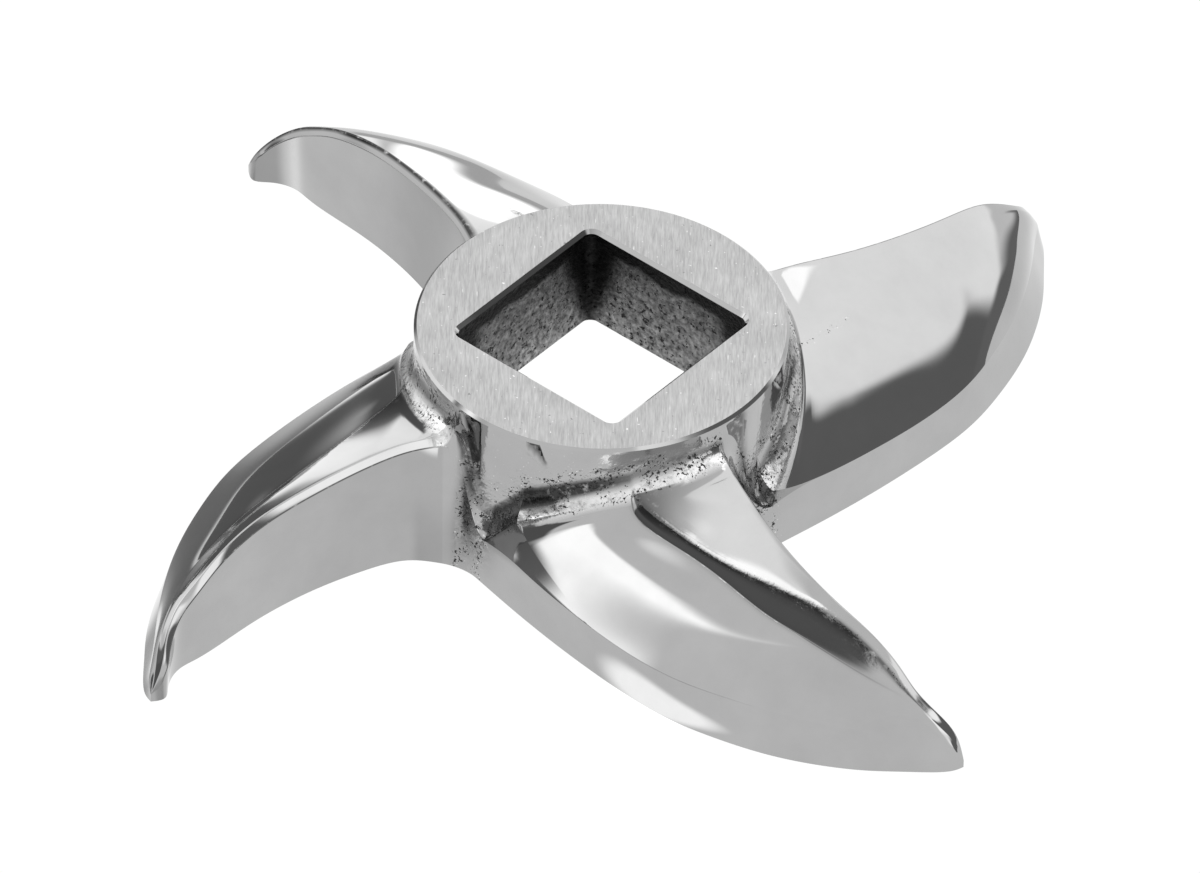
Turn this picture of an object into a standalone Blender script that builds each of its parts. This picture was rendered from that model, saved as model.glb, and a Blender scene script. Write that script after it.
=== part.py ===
"""Meat grinder knife: one stainless casting with a round hub, a square drive hole and
four swept blades. Units in the tables are millimetres; the model is built in metres.

The knife lies on its cutting face, z = 0, with the hub's axis on Z. The sides of the
square hole are parallel to X and Y. Blade 0 leaves the hub at the right and its tip
points along +Y; the others are the same blade turned by 90 degrees.
"""

import math

import bmesh
import bpy
import numpy as np
from mathutils import Matrix

NAME = "grinder_knife"
MM = 0.001

# Hub
HUB_R = 16.0  # radius of the ground top face
HUB_TOP = 15.8  # height of the top face above the cutting face
RIM_CHAMFER = 0.25
SQUARE = 17.8  # drive hole, across flats
SQUARE_CORNER = 1.2  # radius of the hole's corners
SQUARE_LEAD_IN = 0.35  # chamfer at the hole's top and bottom edges
UNDERSIDE = 5.4  # height of the hub's underside, the regrinding allowance
RELIEF = 27.6  # square relief cast under the hub, across flats
RELIEF_CORNER = 2.4
RELIEF_LEAD_IN = 0.4

# Blade 0, drawn at eleven sections from the root to the tip and closed at one tip point.
# Bottom edges in plan: the leading (cutting) edge and the trailing edge.
LEAD = [
    (1.80, 18.55), (4.40, 20.37), (6.18, 23.70), (7.48, 27.40), (8.36, 31.00), (8.90, 34.70),
    (9.15, 38.50), (9.42, 41.30), (9.70, 43.30), (9.10, 45.25), (8.20, 46.70), (8.80, 47.90),
]
TRAIL = [
    (18.00, 1.60), (19.10, 7.20), (20.00, 13.00), (20.60, 18.80), (20.75, 24.40), (19.95, 29.60),
    (18.20, 35.40), (15.40, 40.80), (13.00, 44.00), (11.10, 46.30), (9.80, 47.50), (8.80, 47.90),
]
# Crest, the highest line of the blade, just behind the leading wall.
CREST = [
    (3.50, 17.00, 12.40), (5.05, 19.90, 12.55), (6.62, 23.60, 12.25), (7.85, 27.40, 11.82),
    (8.75, 31.00, 11.35), (9.33, 34.60, 10.75), (9.56, 38.30, 9.82), (9.72, 41.20, 8.30),
    (9.88, 43.40, 6.75), (9.30, 45.35, 4.90), (8.60, 46.80, 3.00), (8.80, 47.90, 1.50),
]
# Back edge of the land behind the crest.
LAND = [
    (10.75, 13.20, 11.20), (10.85, 15.40, 10.55), (11.00, 20.20, 10.00), (10.95, 25.20, 9.98),
    (10.65, 29.80, 10.40), (10.38, 34.10, 10.45), (10.30, 38.00, 9.60), (10.36, 41.10, 8.12),
    (10.42, 43.45, 6.55), (9.85, 45.45, 4.70), (9.00, 46.95, 2.85), (8.80, 47.90, 1.50),
]
# Width of the 45 degree step down from the land's back edge.
STEP = [0.50, 1.00, 0.85, 1.30, 2.00, 2.30, 2.00, 1.20, 0.40, 0.15, 0.08, 0.0]
# Upper edge of the trailing band: how far it lies inside the trailing edge, and its height.
BAND = [
    (0.65, 5.40), (0.35, 4.90), (0.30, 4.60), (0.40, 4.40), (0.70, 4.30), (1.10, 4.15),
    (1.45, 3.85), (1.40, 3.35), (1.05, 2.85), (0.70, 2.25), (0.35, 1.80), (0.0, 1.50),
]
# Slope of the back just behind the step and where it meets the band, in degrees.
BACK_SLOPES = [
    (8, 62), (12, 55), (15, 50), (15, 45), (14, 44), (16, 46),
    (26, 54), (44, 66), (56, 74), (58, 76), (58, 76), (58, 76),
]
BEVEL_WIDTH = 0.45  # bevel between the leading wall and the crest
BEVEL_HEIGHT = 0.75
ROOT_RISE = 1.7  # height of the cast fillet between a blade and the hub's side

# Mesh density
ALONG = 20  # along a blade
WALL = 3  # up the walls
ACROSS_LAND = 3
ACROSS_STEP = 1
ACROSS_BACK = 6
ROOT = 4  # up the root fillet
VALLEY = 5  # round the hub between two blades
TIP_BUNCHING = 1.35


def spline(points, u):
    """Natural cubic spline through the points at the integers, read at the values u."""
    p = np.array(points, float)
    if p.ndim == 1:
        p = p[:, None]
    n = len(p)
    a = np.zeros((n, n))
    b = np.zeros_like(p)
    a[0, 0] = a[-1, -1] = 1.0
    for i in range(1, n - 1):
        a[i, i - 1 : i + 2] = (1.0, 4.0, 1.0)
        b[i] = 6.0 * (p[i + 1] - 2.0 * p[i] + p[i - 1])
    m = np.linalg.solve(a, b)
    u = np.clip(np.asarray(u, float), 0.0, n - 1.0)
    k = np.minimum(u.astype(int), n - 2)
    f = (u - k)[:, None]
    g = 1.0 - f
    return g * p[k] + f * p[k + 1] + ((g**3 - g) * m[k] + (f**3 - f) * m[k + 1]) / 6.0


def hermite(p0, p1, m0, m1, t):
    """Cubic curves from p0 to p1 (n, 3) with end tangents m0 and m1, read at t."""
    t = np.asarray(t, float)[None, :, None]
    p0, p1, m0, m1 = (np.asarray(v, float)[:, None, :] for v in (p0, p1, m0, m1))
    return (
        (2 * t**3 - 3 * t**2 + 1) * p0
        + (t**3 - 2 * t**2 + t) * m0
        + (-2 * t**3 + 3 * t**2) * p1
        + (t**3 - t**2) * m1
    )


def level(v):
    """The horizontal part of each vector, at unit length."""
    w = np.array(v, float)
    w[:, 2] = 0.0
    return w / np.maximum(np.linalg.norm(w, axis=1, keepdims=True), 1e-9)


def sloped(e, angle, length):
    """Vectors along the horizontal directions e, turned down by the angles."""
    out = e * (np.cos(angle) * length)[:, None]
    out[:, 2] = -np.sin(angle) * length
    return out


def blade_rows(u):
    """The grid of blade 0 at the station values u, as (rows, len(u), 3), from the
    leading bottom edge over the crest to the trailing bottom edge."""
    lead, trail = spline(LEAD, u), spline(TRAIL, u)
    crest, land, band = spline(CREST, u), spline(LAND, u), spline(BAND, u)
    zero = np.zeros((len(u), 1))
    lead, trail = np.hstack([lead, zero]), np.hstack([trail, zero])
    inward = level(crest - trail)
    edge = trail + inward * np.maximum(band[:, :1], 0.0)
    edge[:, 2] = band[:, 1]
    # The bevel in front of the crest closes up at the tip.
    narrow = np.clip((len(LEAD) - 1 - u) / 1.5, 0.0, 1.0)
    top = crest + level(crest - land) * (BEVEL_WIDTH * narrow)[:, None]
    top[:, 2] -= BEVEL_HEIGHT * narrow
    steps = np.linspace(0.0, 1.0, WALL + 1)[:, None, None]
    lead_wall = lead + (top - lead) * steps
    trail_wall = edge + (trail - edge) * steps

    # Near the root the sections bend with the hub's circle.
    round_hub = np.clip(1.0 - u / 1.6, 0.0, 1.0) ** 1.5

    def heading(chord, at):
        along = level(np.stack([at[:, 1], -at[:, 0], np.zeros(len(at))], axis=1))
        mixed = level(chord) * (1.0 - round_hub)[:, None] + along * round_hub[:, None]
        return level(mixed)

    # Land: nearly level at the crest, falling to its back edge.
    run = np.linalg.norm((land - crest)[:, :2], axis=1)
    fall = np.arctan2(crest[:, 2] - land[:, 2], np.maximum(run, 1e-6))
    reach = np.linalg.norm(land - crest, axis=1)
    top_land = hermite(
        crest, land,
        sloped(heading(land - crest, crest), 0.75 * fall, reach),
        sloped(heading(land - crest, land), 1.2 * fall, reach),
        np.linspace(0.0, 1.0, ACROSS_LAND + 1),
    )
    # Step: a 45 degree slope down from the land's back edge.
    step = np.maximum(spline(STEP, u), 0.0)
    foot = land + heading(edge - land, land) * step
    foot[:, 2] -= step[:, 0]
    down = np.linspace(0.0, 1.0, ACROSS_STEP + 1)[None, :, None]
    step_rows = land[:, None] + (foot - land)[:, None] * down
    # Back: flat behind the step, rolling over towards the band.
    slopes = np.radians(spline(BACK_SLOPES, u))
    reach = np.linalg.norm(edge - foot, axis=1) * 1.05
    back = hermite(
        foot, edge,
        sloped(heading(edge - foot, foot), slopes[:, 0], reach),
        sloped(heading(edge - foot, edge), slopes[:, 1], reach),
        np.linspace(0.0, 1.0, ACROSS_BACK + 1),
    )
    rows = list(lead_wall) + [crest]
    rows += [top_land[:, j] for j in range(1, ACROSS_LAND + 1)]
    rows += [step_rows[:, j] for j in range(1, ACROSS_STEP + 1)]
    rows += [back[:, j] for j in range(1, ACROSS_BACK + 1)]
    rows += list(trail_wall[1:])
    return np.array(rows)


def turned(points, quarter):
    """Points turned about Z by a number of right angles."""
    c, s = [(1, 0), (0, 1), (-1, 0), (0, -1)][quarter % 4]
    x, y = points[..., 0], points[..., 1]
    return np.stack([c * x - s * y, s * x + c * y, points[..., 2]], axis=-1)


def knife_grids():
    """Blade grid (rows, along, 3), root grid (rows up, columns, 3) over the blade's top,
    and valley grid (rows up, round, 3) to the next blade, all for blade 0."""
    last = len(LEAD) - 1
    u = last * (1.0 - (1.0 - np.linspace(0.0, 1.0, ALONG + 1)) ** TIP_BUNCHING)
    rows = blade_rows(u)
    ahead = blade_rows(np.array([0.0, 0.02]))
    away = (ahead[:, 0] - ahead[:, 1]) / 0.02  # towards the hub, per station
    first, final = WALL, len(rows) - 1 - WALL  # leading wall top, band edge

    # Root fillet: each line over the blade's top runs on into the hub's side.
    foot = rows[first : final + 1, 0]
    dirs = away[first : final + 1]
    dirs = dirs / np.linalg.norm(dirs, axis=1, keepdims=True)
    angle = np.arctan2(foot[:, 1], foot[:, 0])
    radius = np.hypot(foot[:, 0], foot[:, 1])
    gap = radius - HUB_R
    rise = ROOT_RISE + 0.5 * gap
    head = np.stack(
        [HUB_R * np.cos(angle), HUB_R * np.sin(angle), np.minimum(foot[:, 2] + rise, HUB_TOP - 1.0)],
        axis=1,
    )
    inward = -np.stack([np.cos(angle), np.sin(angle), np.zeros_like(angle)], axis=1)
    # The lines of the blade meet the hub obliquely; the fillet turns them towards it.
    toward = 0.35 * dirs + 0.65 * inward
    toward[:, 2] = np.minimum(dirs[:, 2], 0.0) * 0.5
    up = np.zeros_like(head)
    up[:, 2] = 1.0
    size = (gap + rise)[:, None]
    root = hermite(foot, head, toward * gap[:, None] * 1.5, up * size, np.linspace(0.0, 1.0, ROOT + 1))
    root = root.transpose(1, 0, 2)
    side = []
    for height, inset in ((HUB_TOP - RIM_CHAMFER, 0.0), (HUB_TOP, RIM_CHAMFER)):
        r = HUB_R - inset
        side.append(np.stack([r * np.cos(angle), r * np.sin(angle), np.full_like(angle, height)], axis=1))
    root = np.concatenate([root, np.array(side)])

    # Valley: from the leading wall round to the next blade's trailing band.
    left = np.concatenate([rows[:first, 0], root[:, 0]])
    band_side = np.concatenate([rows[final + 1 :, 0][::-1], root[:, -1]])
    right = turned(band_side, 1)
    count = len(left)
    flow = np.zeros((count, 3))
    flow_end = np.zeros((count, 3))
    span = np.linalg.norm(right - left, axis=1)
    ring = np.stack([-left[:, 1], left[:, 0], np.zeros(count)], axis=1)
    ring_end = np.stack([-right[:, 1], right[:, 0], np.zeros(count)], axis=1)
    ring = level(ring)
    ring_end = level(ring_end)
    wall_dir = level(away[: first + 1])
    wall_end = level(turned(-away[final:][::-1], 1))
    for j in range(count):
        blend = min(1.0, max(0.0, (j - first * 0.5) / (first + ROOT * 0.5)))
        a = wall_dir[min(j, first)]
        b = wall_end[min(j, first)]
        flow[j] = (a * (1 - blend) + ring[j] * blend) * span[j]
        flow_end[j] = (b * (1 - blend) + ring_end[j] * blend) * span[j]
    t = np.linspace(0.0, 1.0, VALLEY + 1)
    valley = hermite(left, right, flow * 0.95, flow_end * 0.95, t)
    # The side and the rim stay on the hub's cylinder.
    for j in range(first + ROOT, count):
        a0 = math.atan2(left[j, 1], left[j, 0])
        a1 = math.atan2(right[j, 1], right[j, 0])
        a = a0 + (a1 - a0) * t
        r = HUB_R - (RIM_CHAMFER if j == count - 1 else 0.0)
        z = valley[j, :, 2].copy()
        valley[j] = np.stack([r * np.cos(a), r * np.sin(a), z], axis=1)
    return rows, root, valley


def knife_mesh():
    """The closed casting before its relief and drive hole are cut."""
    rows, root, valley = knife_grids()
    bm = bmesh.new()
    known = {}

    def vert(p):
        key = tuple(int(round(c * 2000.0)) for c in p)
        if key not in known:
            known[key] = bm.verts.new([float(c) * MM for c in p])
        return known[key]

    def face(points):
        ring = []
        for p in points:
            v = vert(p)
            if v not in ring:
                ring.append(v)
        if len(ring) > 2:
            bm.faces.new(ring)

    top, bottom = [], []
    for k in range(4):
        r, f, v = turned(rows, k), turned(root, k), turned(valley, k)
        for grid in (r, f, v):
            for i in range(grid.shape[0] - 1):
                for j in range(grid.shape[1] - 1):
                    face([grid[i, j], grid[i, j + 1], grid[i + 1, j + 1], grid[i + 1, j]])
        top += list(f[-1][::-1]) + list(v[-1])
        bottom += list(r[-1]) + list(r[0][::-1]) + list(v[0])
    face(top)
    face(bottom)
    bmesh.ops.recalc_face_normals(bm, faces=bm.faces[:])
    return bm


def new_object(name, bm, collection):
    mesh = bpy.data.meshes.new(name)
    bm.to_mesh(mesh)
    bm.free()
    obj = bpy.data.objects.new(name, mesh)
    collection.objects.link(obj)
    return obj


def square_cutter(name, flats, corner, z_low, z_high, collection, grow_low=0.0, grow_high=0.0):
    """A square prism with rounded upright edges; each end can be wider than the flats."""
    bm = bmesh.new()
    bmesh.ops.create_cube(
        bm, size=1.0,
        matrix=Matrix.Translation((0, 0, (z_low + z_high) / 2 * MM))
        @ Matrix.Diagonal((flats * MM, flats * MM, (z_high - z_low) * MM, 1.0)),
    )
    upright = [e for e in bm.edges if abs(e.verts[0].co.z - e.verts[1].co.z) > 1e-6]
    bmesh.ops.bevel(bm, geom=upright, offset=corner * MM, segments=4, profile=0.5, affect="EDGES")
    middle = (z_low + z_high) / 2 * MM
    for v in bm.verts:
        grow = grow_high if v.co.z > middle else grow_low
        v.co.x *= 1.0 + 2.0 * grow / flats
        v.co.y *= 1.0 + 2.0 * grow / flats
    return new_object(name, bm, collection)


def steel():
    material = bpy.data.materials.new("cast_stainless_steel")
    material.use_nodes = True
    shader = material.node_tree.nodes["Principled BSDF"]
    shader.inputs["Base Color"].default_value = (0.60, 0.60, 0.59, 1.0)
    shader.inputs["Metallic"].default_value = 1.0
    shader.inputs["Roughness"].default_value = 0.18
    return material


def main():
    for obj in list(bpy.data.objects):
        bpy.data.objects.remove(obj, do_unlink=True)
    scene = bpy.context.scene
    parts = bpy.data.collections.new("meat_grinder_knife")
    cutters = bpy.data.collections.new("cutters")
    scene.collection.children.link(parts)
    scene.collection.children.link(cutters)

    knife = new_object(NAME, knife_mesh(), parts)
    knife.data.materials.append(steel())

    over = 2.0  # how far a cutter runs past the face it cuts
    lead = SQUARE_LEAD_IN
    tools = [
        square_cutter("relief_cutter", RELIEF, RELIEF_CORNER, -over, UNDERSIDE, cutters),
        square_cutter(
            "relief_lead_in_cutter", RELIEF, RELIEF_CORNER, -RELIEF_LEAD_IN, RELIEF_LEAD_IN,
            cutters, grow_low=2 * RELIEF_LEAD_IN,
        ),
        square_cutter("drive_hole_cutter", SQUARE, SQUARE_CORNER, UNDERSIDE - over, HUB_TOP + over, cutters),
        square_cutter(
            "upper_lead_in_cutter", SQUARE, SQUARE_CORNER, HUB_TOP - lead, HUB_TOP + lead, cutters,
            grow_high=2 * lead,
        ),
        square_cutter(
            "lower_lead_in_cutter", SQUARE, SQUARE_CORNER, UNDERSIDE - lead, UNDERSIDE + lead, cutters,
            grow_low=2 * lead,
        ),
    ]
    for tool in tools:
        tool.hide_render = True
        tool.display_type = "WIRE"
        cut = knife.modifiers.new(tool.name, "BOOLEAN")
        cut.operation = "DIFFERENCE"
        cut.solver = "EXACT"
        cut.object = tool


main()
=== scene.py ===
"""Looks of the meat grinder knife: the fine surface of the casting, its finishes, the
studio and the camera. Units in the tables are millimetres; the scene is in metres.

Blade 0 leaves the hub at the right and its tip points along +Y; the others are the
same blade turned by 90 degrees.
"""

import math

import bmesh
import bpy
import numpy as np
from mathutils import Matrix, Quaternion, Vector, geometry, noise


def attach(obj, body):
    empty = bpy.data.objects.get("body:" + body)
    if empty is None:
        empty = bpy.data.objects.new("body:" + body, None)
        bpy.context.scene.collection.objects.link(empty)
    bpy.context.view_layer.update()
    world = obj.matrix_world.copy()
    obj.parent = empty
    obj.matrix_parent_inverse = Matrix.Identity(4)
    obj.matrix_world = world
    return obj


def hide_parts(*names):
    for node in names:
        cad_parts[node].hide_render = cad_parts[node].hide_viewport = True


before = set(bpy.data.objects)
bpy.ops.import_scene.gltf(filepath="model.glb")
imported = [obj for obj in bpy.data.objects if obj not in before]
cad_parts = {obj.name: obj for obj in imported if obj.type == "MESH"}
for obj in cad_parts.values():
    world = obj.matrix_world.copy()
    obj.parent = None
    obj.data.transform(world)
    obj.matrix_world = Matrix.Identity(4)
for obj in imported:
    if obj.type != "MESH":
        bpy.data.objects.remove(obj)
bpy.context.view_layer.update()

MM = 0.001

# ---------------------------------------------------------------- camera
ELEVATION = 0.7290
DISTANCE = 1.5611
LENS = 546.76
TURN = 0.69871  # the knife stands turned by this much in front of the camera
PITCH = 0.0015
ROLL = -0.01587


def make_camera():
    place = Vector((0.0, -DISTANCE * math.cos(ELEVATION), DISTANCE * math.sin(ELEVATION)))
    ahead = -place.normalized()
    right = Vector((1.0, 0.0, 0.0))
    up = right.cross(ahead)
    tip = Quaternion(right, PITCH)
    ahead, up = tip @ ahead, tip @ up
    roll = Quaternion(ahead, ROLL)
    right, up = roll @ right, roll @ up
    turn = Matrix.Rotation(TURN, 3, "Z")
    place, ahead, right, up = (turn @ v for v in (place, ahead, right, up))
    data = bpy.data.cameras.new("camera")
    data.sensor_width = 36.0
    data.sensor_fit = "HORIZONTAL"
    data.lens = LENS
    data.clip_start = 0.1
    data.clip_end = 20.0
    camera = bpy.data.objects.new("camera", data)
    bpy.context.scene.collection.objects.link(camera)
    axes = Matrix((right, up, -ahead)).transposed().to_4x4()
    camera.matrix_world = Matrix.Translation(place) @ axes
    bpy.context.scene.camera = camera


# ---------------------------------------------------------------- sizes, as in the CAD
HUB_R = 16.0
HUB_TOP = 15.8
RIM_CHAMFER = 0.25
SQUARE = 17.8
SQUARE_CORNER = 0.85
SQUARE_LEAD_IN = 0.32
UNDERSIDE = 5.4
RELIEF = 27.6
RELIEF_CORNER = 2.4
RELIEF_LEAD_IN = 0.4

LEAD = [
    (1.80, 18.55), (4.40, 20.37), (6.18, 23.70), (7.48, 27.40), (8.36, 31.00), (8.90, 34.70),
    (9.15, 38.50), (9.42, 41.30), (9.70, 43.30), (9.10, 45.25), (8.20, 46.70), (8.80, 47.90),
]
TRAIL = [
    (18.00, 1.60), (19.10, 7.20), (20.00, 13.00), (20.60, 18.80), (20.75, 24.40), (19.95, 29.60),
    (18.20, 35.40), (15.40, 40.80), (13.00, 44.00), (11.10, 46.30), (9.80, 47.50), (8.80, 47.90),
]
CREST = [
    (3.50, 17.00, 12.45), (5.05, 19.90, 12.65), (6.62, 23.60, 12.25), (7.85, 27.40, 11.75),
    (8.75, 31.00, 11.30), (9.33, 34.60, 10.75), (9.56, 38.30, 9.80), (9.72, 41.20, 8.30),
    (9.88, 43.40, 6.75), (9.30, 45.35, 4.95), (8.60, 46.80, 2.90), (8.80, 47.90, 0.75),
]
LAND = [
    (10.75, 13.20, 11.10), (10.85, 15.40, 10.55), (11.00, 20.20, 10.10), (10.95, 25.20, 10.15),
    (10.65, 29.80, 10.40), (10.38, 34.10, 10.40), (10.30, 38.00, 9.50), (10.36, 41.10, 8.05),
    (10.42, 43.45, 6.50), (9.85, 45.45, 4.60), (9.00, 46.95, 2.70), (8.80, 47.90, 0.75),
]
STEP = [0.45, 1.00, 0.90, 1.30, 2.00, 2.20, 1.85, 1.10, 0.35, 0.15, 0.10, 0.0]
BAND = [
    (0.65, 5.40), (0.35, 4.95), (0.30, 4.65), (0.40, 4.35), (0.70, 4.20), (1.10, 4.10),
    (1.45, 3.85), (1.40, 3.40), (1.05, 2.85), (0.70, 2.25), (0.35, 1.70), (0.00, 0.75),
]
BACK_SLOPES = [
    (12, 36), (11, 41), (14, 39), (13, 34), (12, 33), (18, 35),
    (28, 46), (44, 64), (55, 76), (57, 78), (58, 77), (58, 76),
]
# The blade whose step was ground away is fuller towards its tip.
FULL_SLOPES = [
    (12, 36), (11, 41), (14, 39), (13, 35), (12, 42), (13, 58),
    (20, 72), (34, 78), (48, 80), (55, 80), (58, 77), (58, 76),
]
# Slope of the land at the crest and at its back edge, as a share of its mean fall.
LAND_SLOPES = [
    (0.75, 0.75), (0.75, 0.85), (0.85, 0.95), (0.75, 1.25), (0.95, 1.50), (0.85, 1.50),
    (0.90, 1.40), (0.85, 1.20), (0.80, 1.10), (0.75, 1.00), (0.70, 1.05), (0.75, 1.15),
]
# How far the back bulges above its plain curve: a middle swell and a lean towards the band.
BACK_SWELL = [
    (-0.14, -0.14), (0.40, -0.16), (0.44, -0.12), (0.32, -0.04), (0.08, -0.04), (-0.06, -0.02),
    (-0.06, -0.02), (0.10, 0.02), (0.12, 0.02), (0.08, 0.02), (0.02, 0.02), (-0.04, 0.00),
]
BEVEL_WIDTH = 0.45
BEVEL_HEIGHT = 0.75
ROOT_RISE = 2.2
ROOT_LIFT = 0.45  # how far the blade's top curls up towards the root fillet
ROOT_REACH = 0.60  # and over how many stations

# The back ends at a brow near the root, and a flat facet leads on to the band: the share
# of the back that is left at the root, what it gains per station, and how far the
# band's edge drops at the root.
BROW = 0.74
BROW_GAIN = 0.105
EDGE_DROP = 1.2

# How dark the painted line along the crest of each blade is: a painted dark reflection.
LINE_TONE = [0.75, 1.0, 0.85, 0.3]
LINE_ROWS = [(5, 0), (4, 1), (3, 0), (3, 0)]
# How much each leading wall is darkened near the hub and at the tip: a painted darker reflection.
WALL_PAINTED_SHADE = [(0.0, 0.0), (0.36, 0.30), (0.08, 0.12), (0.0, 0.0)]

# Radii of the small fillets along the blade's creases, measured along each side.
ROUND_TOP = 0.10
ROUND_CREST = 0.12
ROUND_LAND = 0.35
ROUND_FOOT = 0.10
ROUND_EDGE = 0.03
ROLL_EDGE = 0.04  # how much softer the edge gets beyond the facet, where the step is left

# ---------------------------------------------------------------- mesh density
ALONG = 130
WALL = 7
ACROSS_BEVEL = 2
ACROSS_LAND = 12
ACROSS_STEP = 5
ACROSS_BACK = 32
ACROSS_FACET = 4
FILLET = 3
ROOT = 16
SIDE = 9
VALLEY = 30
TIP_BUNCHING = 1.35


def spline(points, u):
    """Natural cubic spline through the points at the integers, read at the values u."""
    p = np.array(points, float)
    if p.ndim == 1:
        p = p[:, None]
    n = len(p)
    a = np.zeros((n, n))
    b = np.zeros_like(p)
    a[0, 0] = a[-1, -1] = 1.0
    for i in range(1, n - 1):
        a[i, i - 1 : i + 2] = (1.0, 4.0, 1.0)
        b[i] = 6.0 * (p[i + 1] - 2.0 * p[i] + p[i - 1])
    m = np.linalg.solve(a, b)
    u = np.clip(np.asarray(u, float), 0.0, n - 1.0)
    k = np.minimum(u.astype(int), n - 2)
    f = (u - k)[:, None]
    g = 1.0 - f
    return g * p[k] + f * p[k + 1] + ((g**3 - g) * m[k] + (f**3 - f) * m[k + 1]) / 6.0


def ease(x, low, high):
    """Smooth step of an array from 0 at low to 1 at high."""
    t = np.clip((np.asarray(x, float) - low) / (high - low), 0.0, 1.0)
    return t * t * (3.0 - 2.0 * t)


def hermite(p0, p1, m0, m1, t):
    """Cubic curves from p0 to p1 (n, 3) with end tangents m0 and m1, read at t (k,) or (n, k)."""
    t = np.asarray(t, float)
    t = t[None, :, None] if t.ndim == 1 else t[:, :, None]
    p0, p1, m0, m1 = (np.asarray(v, float)[:, None, :] for v in (p0, p1, m0, m1))
    return (
        (2 * t**3 - 3 * t**2 + 1) * p0
        + (t**3 - 2 * t**2 + t) * m0
        + (-2 * t**3 + 3 * t**2) * p1
        + (t**3 - t**2) * m1
    )


def level(v):
    """The horizontal part of each vector, at unit length."""
    w = np.array(v, float)
    w[:, 2] = 0.0
    return w / np.maximum(np.linalg.norm(w, axis=1, keepdims=True), 1e-9)


def sloped(e, angle, length):
    """Vectors along the horizontal directions e, turned down by the angles."""
    out = e * (np.cos(angle) * length)[:, None]
    out[:, 2] = -np.sin(angle) * length
    return out


def trimmed(length, start, end, count):
    """Parameters (n, count + 1) along a side of this length that leave room for its fillets."""
    length = np.maximum(length, 1e-6)
    a = np.minimum(start / length, 0.35)
    b = 1.0 - np.minimum(end / length, 0.35)
    return a[:, None] + (b - a)[:, None] * np.linspace(0.0, 1.0, count + 1)[None, :]


def straight(p0, p1, t):
    return p0[:, None] + (p1 - p0)[:, None] * t[:, :, None]


def rounded(before, corner, after):
    """The points inside a fillet: a quadratic from one side to the next."""
    s = np.linspace(0.0, 1.0, FILLET + 2)[1:-1]
    return [
        (1 - x) ** 2 * before + 2 * x * (1 - x) * corner + x**2 * after for x in s
    ]


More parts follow.
